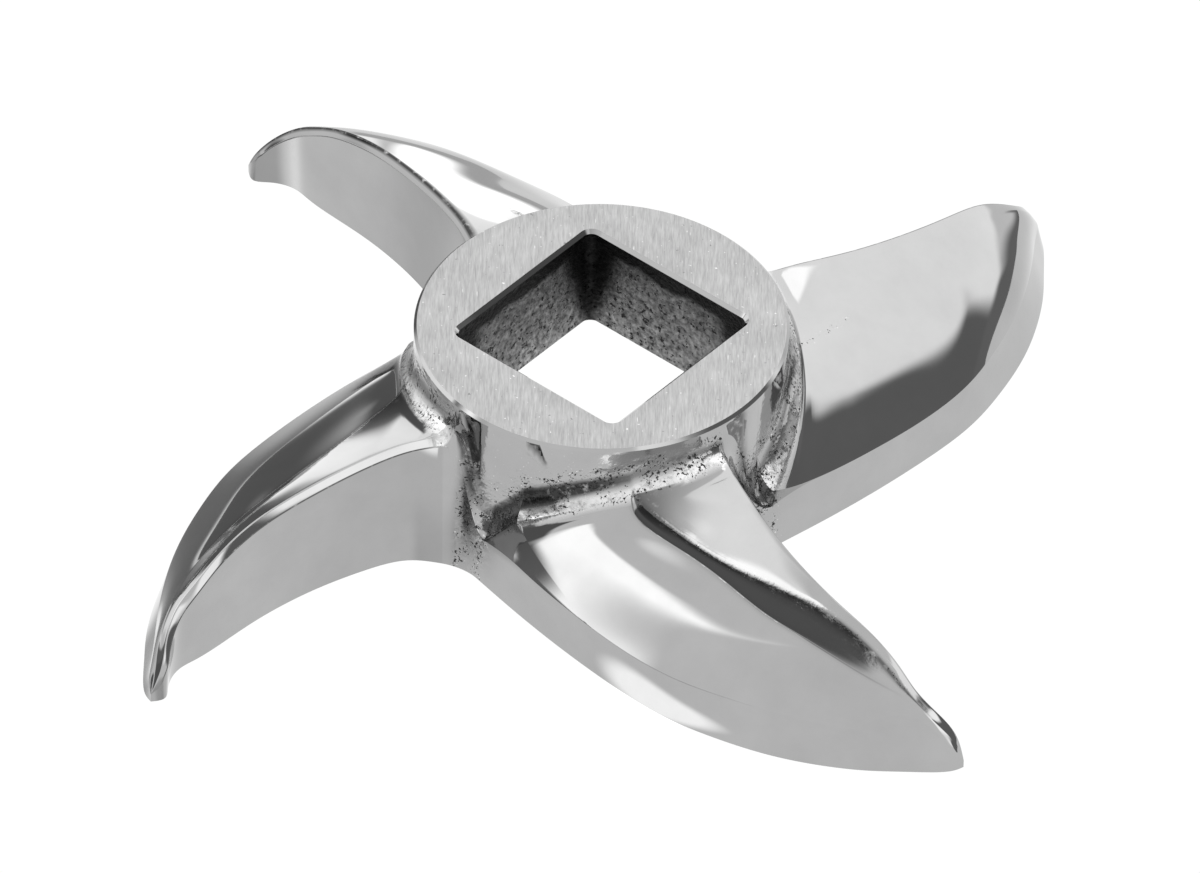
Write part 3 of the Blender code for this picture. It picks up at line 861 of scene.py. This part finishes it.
def polished_casting():
    """Polished steel that keeps pits and rough skin where the wheel didn't reach, with painted shade and painted
    highlight from the painted_light attribute.
    """
    m, g, at, s = start("polished_casting", STEEL, 0.05)
    skin = g.node("ShaderNodeAttribute", attribute_name="skin").outputs["Fac"]
    patch = g.noise(at, 800.0, detail=2.0)
    fine = g.noise(at, 4200.0, detail=3.0, rough=0.62)
    crowd = g.math("MULTIPLY", skin, g.step(patch, 0.28, 0.60))
    edge = g.math("SUBTRACT", 0.79, g.math("MULTIPLY", crowd, 0.25))
    pit = g.step(g.math("SUBTRACT", fine, edge), 0.0, 0.035)
    stain_and_painted_light = g.noise(at, 130.0, detail=4.0, rough=0.6)
    tone = g.math("MULTIPLY", STEEL, g.ramp(stain_and_painted_light, 0.3, 0.7, 1.04, 0.93))
    # Painted glints in the pitted skin.
    spark = g.step(g.noise(at, 5200.0, detail=1.0), 0.70, 0.76, 0.0, 0.5)
    tone = g.math("ADD", tone, g.math("MULTIPLY", spark, crowd))
    # Painted shade darkens the steel where painted_light is above zero; a painted highlight brightens and roughens it
    # where it is below zero.
    painted_light = g.node("ShaderNodeAttribute", attribute_name="painted_light").outputs["Fac"]
    shade_breakup = g.noise(at, 1300.0, detail=4.0, rough=0.65)
    strong = g.step(g.math("ABSOLUTE", painted_light), 0.45, 0.70)  # faint painted shade is even, heavy painted shade ragged
    dark = g.math("MULTIPLY", g.math("MAXIMUM", painted_light, 0.0), g.mix(strong, 1.0, g.step(shade_breakup, 0.22, 0.50)))
    light = g.math("MULTIPLY", g.math("MAXIMUM", g.math("MULTIPLY", painted_light, -1.0), 0.0), g.mix(strong, 1.0, g.step(shade_breakup, 0.30, 0.55)))
    tone = g.mix(dark, g.mix(light, tone, 0.85), 0.05)
    grey(g, g.mix(pit, tone, 0.05), s)
    rough = g.math("ADD", g.math("MULTIPLY", skin, 0.10), g.ramp(stain_and_painted_light, 0.35, 0.7, 0.035, 0.075))
    rough = g.math("ADD", rough, g.math("MULTIPLY", light, 0.22))
    g.link(g.mix(pit, rough, 0.6), s.inputs["Roughness"])
    ripple = g.math("MULTIPLY", g.noise(at, 160.0, detail=1.0), 0.006)
    lumps = g.math("MULTIPLY", g.noise(at, 1500.0, detail=2.0, rough=0.55), 0.05)
    height = g.math("ADD", ripple, g.math("MULTIPLY", skin, lumps))
    height = g.math("SUBTRACT", height, g.math("MULTIPLY", pit, 0.04))
    bump(g, height, s)
    return m


def ground_top():
    """The hub's top, ground in straight lines."""
    m, g, at, s = start("ground_top", 0.37, 0.34)
    along = (-math.sin(TURN), math.cos(TURN), 0.0)
    across = (math.cos(TURN), math.sin(TURN), 0.0)
    lines = grain(g, at, along, across, 2.6, 0.20, detail=3.0, rough=0.6)
    fine = grain(g, at, along, across, 1.1, 0.09, detail=2.0)
    cloud = g.noise(at, 230.0, detail=3.0)
    tone = g.math("ADD", g.ramp(lines, 0.25, 0.75, 0.29, 0.44), g.ramp(fine, 0.3, 0.7, -0.035, 0.035))
    tone = g.math("MULTIPLY", tone, g.ramp(cloud, 0.3, 0.7, 0.93, 1.07))
    nick = g.step(g.noise(at, 2600.0, detail=2.0), 0.70, 0.75)
    scar = g.step(grain(g, at, along, across, 1.6, 0.16, detail=1.0), 0.74, 0.80)
    tone = g.mix(g.math("MAXIMUM", nick, scar), tone, 0.68)
    dent = g.step(g.noise(g.vector("ADD", at, (0.3, 0.1, 0.2)), 2100.0, detail=2.0), 0.71, 0.76)
    grey(g, g.mix(dent, tone, 0.22), s)
    bump(g, g.math("MULTIPLY", g.math("ADD", lines, fine), 0.006), s)
    return m


def cast_hole():
    """The square hole as cast: dark and gritty, with painted shade that is blackest in its corners and under its rim.
    """
    m, g, at, s = start("cast_hole", 0.12, 0.55)
    xyz = g.node("ShaderNodeSeparateXYZ")
    g.link(at, xyz.inputs[0])
    x, y, z = (xyz.outputs[i] for i in range(3))
    lesser = g.math("MINIMUM", g.math("ABSOLUTE", x), g.math("ABSOLUTE", y))
    cloud = g.noise(at, 420.0, detail=3.0, rough=0.6)
    wander = g.math("MULTIPLY", g.math("SUBTRACT", cloud, 0.5), 0.0022)
    # Painted shade in the corners, reaching further from them lower down, and under the rim.
    deep = g.ramp(z, 6.0 * MM, 14.5 * MM, 6.9 * MM, 4.0 * MM)
    corner = g.step(g.math("SUBTRACT", g.math("ADD", lesser, wander), deep), 0.0, 2.4 * MM)
    rim = g.step(g.math("ADD", z, wander), 13.5 * MM, 14.3 * MM)
    dark = g.math("MAXIMUM", corner, rim)
    grit = g.noise(at, 1700.0, detail=4.0, rough=0.65)
    tone = g.math("MULTIPLY", g.ramp(grit, 0.30, 0.70, 0.06, 0.40), g.ramp(cloud, 0.3, 0.7, 0.75, 1.25))
    # Lighter towards the bottom.
    tone = g.math("MULTIPLY", tone, g.ramp(z, 5.6 * MM, 13.0 * MM, 1.35, 0.8))
    pit = g.step(g.noise(at, 2300.0, detail=3.0, rough=0.6), 0.58, 0.64)
    tone = g.mix(pit, tone, 0.02)
    grey(g, g.mix(dark, tone, g.math("MULTIPLY", tone, 0.06)), s)
    bump(g, g.math("MULTIPLY", g.math("SUBTRACT", grit, g.math("MULTIPLY", pit, 0.4)), 0.16), s)
    return m


def cast_underside():
    """The plain cast relief under the hub."""
    m, g, at, s = start("cast_underside", 0.3, 0.45)
    cloud = g.noise(at, 300.0, detail=3.0)
    grit = g.noise(at, 1300.0, detail=4.0, rough=0.6)
    tone = g.math("MULTIPLY", g.ramp(grit, 0.3, 0.7, 0.20, 0.36), g.ramp(cloud, 0.3, 0.7, 0.85, 1.15))
    pit = g.step(grit, 0.64, 0.70)
    grey(g, g.mix(pit, tone, 0.08), s)
    bump(g, g.math("MULTIPLY", grit, 0.12), s)
    return m


def cutting_face():
    """The flat underside, ground in rings and worn bright by the plate it runs on."""
    m, g, at, s = start("cutting_face", 0.5, 0.22)
    reach = g.vector("LENGTH", at)
    ring = g.node("ShaderNodeCombineXYZ")
    g.link(g.math("MULTIPLY", reach, 5500.0), ring.inputs[0])
    lines = g.noise(ring.outputs[0], 1.0, detail=4.0, rough=0.65)
    along = (math.cos(0.4), math.sin(0.4), 0.0)
    across = (-math.sin(0.4), math.cos(0.4), 0.0)
    scratch = g.step(grain(g, at, along, across, 9.0, 0.14, detail=2.0), 0.70, 0.76)
    cloud = g.noise(at, 180.0, detail=3.0)
    tone = g.math("MULTIPLY", g.ramp(lines, 0.25, 0.75, 0.40, 0.58), g.ramp(cloud, 0.3, 0.7, 0.92, 1.06))
    grey(g, g.mix(scratch, tone, 0.30), s)
    g.link(g.ramp(lines, 0.3, 0.7, 0.17, 0.28), s.inputs["Roughness"])
    bump(g, g.math("MULTIPLY", g.math("SUBTRACT", lines, scratch), 0.004), s)
    return m


# ---------------------------------------------------------------- studio
# Softboxes and dark cards round the table: azimuth from and to, elevation from and to,
# softness of the sides and of the top and bottom, slant, and how bright each looks in
# the steel. Degrees; azimuth 0 is behind the knife as the camera sees it, and it grows
# to the right. A later line stands in front of an earlier one.
CARDS = [
    ("rear_softbox", -105, 90, 10, 63, 7, 5, 0.08, 0.84),
    ("left_softbox", -100, -77, 30, 65, 8, 8, 0.0, 0.99),
    ("right_card", 68, 124, -14, 41, 10, 9, 0.20, 0.33),
    ("low_card", 44.4, 78, -14, 12, 8, 6, 1.2, 0.35),
    ("left_card", -137, -96, -14, 35, 9, 5, -0.30, 0.29),
    ("rear_card", -47, -15, -30, 33, 10, 9, 0.05, 0.30),
    ("rear_window", -16, 6, -8, 26, 3, 4, 0.12, 0.87),
    ("rear_slit", 7, 17, 5, 30, 3, 6, 0.0, 0.88),
    ("front_window", 119, 142, 9, 28, 6, 5, -0.09, 0.92),
    ("right_softbox", 80, 156, 43, 66, 8, 5, 0.0, 0.85),
    ("left_fin", -102, -87, 6, 30, 5, 5, 0.0, 0.34),
    ("crown", 6, 54, 57, 68, 8, 3, 0.0, 1.0),
    ("rear_grey", 1, 18, -44, -5, 2, 4, 0.0, 0.56),
    ("rear_gap", 8, 18, -6.5, 6, 3, 4, 0.0, 1.0),
]
SURROUND = 0.70
FLOOR_LIGHT = 1.02
TABLE_END = 66.0
# Brighter pools on the floor: x, y, turn in degrees, half length, half width, extra light
FLOOR_SPOTS = [
    (23.0, -22.6, 0.0, 8.5, 2.6, 1.0),
]


# The glossy part of the table, placed in the same way
GLOSSY_SPOT = (-37.0, -15.0, 130.0, 74.0, 31.0)


def radiance(seen):
    """The light that looks this bright, from 0 to 1 on the screen, in the steel."""
    linear = seen / 12.92 if seen <= 0.04045 else ((seen + 0.055) / 1.055) ** 2.4
    return linear / STEEL


def make_world():
    world = bpy.data.worlds.new("studio")
    bpy.context.scene.world = world
    world.use_nodes = True
    world.cycles.sampling_method = "MANUAL"
    world.cycles.sample_map_resolution = 256
    g = Graph(world.node_tree)
    back = world.node_tree.nodes["Background"]
    back.inputs["Color"].default_value = (1.0, 1.0, 1.0, 1.0)
    where = g.node("ShaderNodeTexCoord").outputs["Generated"]
    ahead = (-math.sin(TURN), math.cos(TURN), 0.0)
    aside = (math.cos(TURN), math.sin(TURN), 0.0)
    x = g.vector("DOT_PRODUCT", where, aside)
    y = g.vector("DOT_PRODUCT", where, ahead)
    z = g.vector("DOT_PRODUCT", where, (0.0, 0.0, 1.0))
    azimuth = g.math("MULTIPLY", g.math("ARCTAN2", x, y), 180 / math.pi)
    elevation = g.math("MULTIPLY", g.math("ARCSINE", z), 180 / math.pi)
    light = radiance(SURROUND)
    for _, a0, a1, e0, e1, side, end, slant, seen in CARDS:
        middle, centre = (a0 + a1) / 2, (e0 + e1) / 2
        a = g.math("SUBTRACT", azimuth, middle)
        if slant:
            a = g.math("SUBTRACT", a, g.math("MULTIPLY", g.math("SUBTRACT", elevation, centre), slant))
        across = g.math("ABSOLUTE", a)
        up = g.math("ABSOLUTE", g.math("SUBTRACT", elevation, centre))
        wide, high = (a1 - a0) / 2, (e1 - e0) / 2
        mask = g.math(
            "MULTIPLY",
            g.step(across, wide - side / 2, wide + side / 2, 1.0, 0.0),
            g.step(up, high - end / 2, high + end / 2, 1.0, 0.0),
        )
        light = g.mix(mask, light, radiance(seen))
    g.link(light, back.inputs["Strength"])


def make_floor():
    mesh = bpy.data.meshes.new("floor")
    bm = bmesh.new()
    bmesh.ops.create_grid(bm, x_segments=1, y_segments=1, size=3.0)
    bm.to_mesh(mesh)
    bm.free()
    floor = bpy.data.objects.new("floor", mesh)
    # The table ends just behind the picture, so low reflections see the room beyond it.
    floor.location = Matrix.Rotation(TURN, 3, "Z") @ Vector((0.0, TABLE_END * MM - 3.0, -0.0001))
    floor.rotation_euler.z = TURN
    bpy.context.scene.collection.objects.link(floor)
    m = material("floor_white", (0.0, 0.0, 0.0), 0.6, 0.0)
    s = m.node_tree.nodes["Principled BSDF"]
    s.inputs["Specular IOR Level"].default_value = 0.0
    s.inputs["Emission Color"].default_value = (1.0, 1.0, 1.0, 1.0)
    g = Graph(m.node_tree)
    where = g.node("ShaderNodeNewGeometry").outputs["Position"]

    def spot(x, y, turn, long, wide):
        """0 in the middle of an ellipse on the floor and 1 at its edge."""
        c, sn = math.cos(math.radians(turn)), math.sin(math.radians(turn))
        off = g.vector("SUBTRACT", where, (x * MM, y * MM, 0.0))
        a = g.math("DIVIDE", g.vector("DOT_PRODUCT", off, (c, sn, 0.0)), long * MM)
        b = g.math("DIVIDE", g.vector("DOT_PRODUCT", off, (-sn, c, 0.0)), wide * MM)
        return g.math("SQRT", g.math("ADD", g.math("MULTIPLY", a, a), g.math("MULTIPLY", b, b)))

    glow = FLOOR_LIGHT
    for *place, more in FLOOR_SPOTS:
        glow = g.math("ADD", g.step(spot(*place), 0.55, 1.0, more, 0.0), glow)
    g.link(glow, s.inputs["Emission Strength"])
    # Beside the left blade the table is glossy: at a glancing angle it turns dark.
    glance = g.node("ShaderNodeLayerWeight")
    glance.inputs["Blend"].default_value = 0.5
    gloss = g.node("ShaderNodeBsdfGlossy")
    gloss.inputs["Color"].default_value = (0.5, 0.5, 0.5, 1.0)
    gloss.inputs["Roughness"].default_value = 0.35
    both = g.node("ShaderNodeMixShader")
    glossy = g.math(
        "MULTIPLY",
        g.step(glance.outputs["Facing"], 0.385, 0.445),
        g.step(spot(*GLOSSY_SPOT), 0.5, 1.05, 1.0, 0.0),
    )
    g.link(glossy, both.inputs[0])
    g.link(s.outputs[0], both.inputs[1])
    g.link(gloss.outputs[0], both.inputs[2])
    g.link(both.outputs[0], m.node_tree.nodes["Material Output"].inputs["Surface"])
    mesh.materials.append(m)


def studio():
    make_floor()
    make_world()


make_camera()
knife = build()
for finish in (polished_casting, ground_top, cast_hole, cast_underside, cutting_face):
    knife.data.materials.append(finish())
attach(knife, "root")
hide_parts("grinder_knife")
studio()
bpy.context.scene.view_settings.view_transform = "Standard"
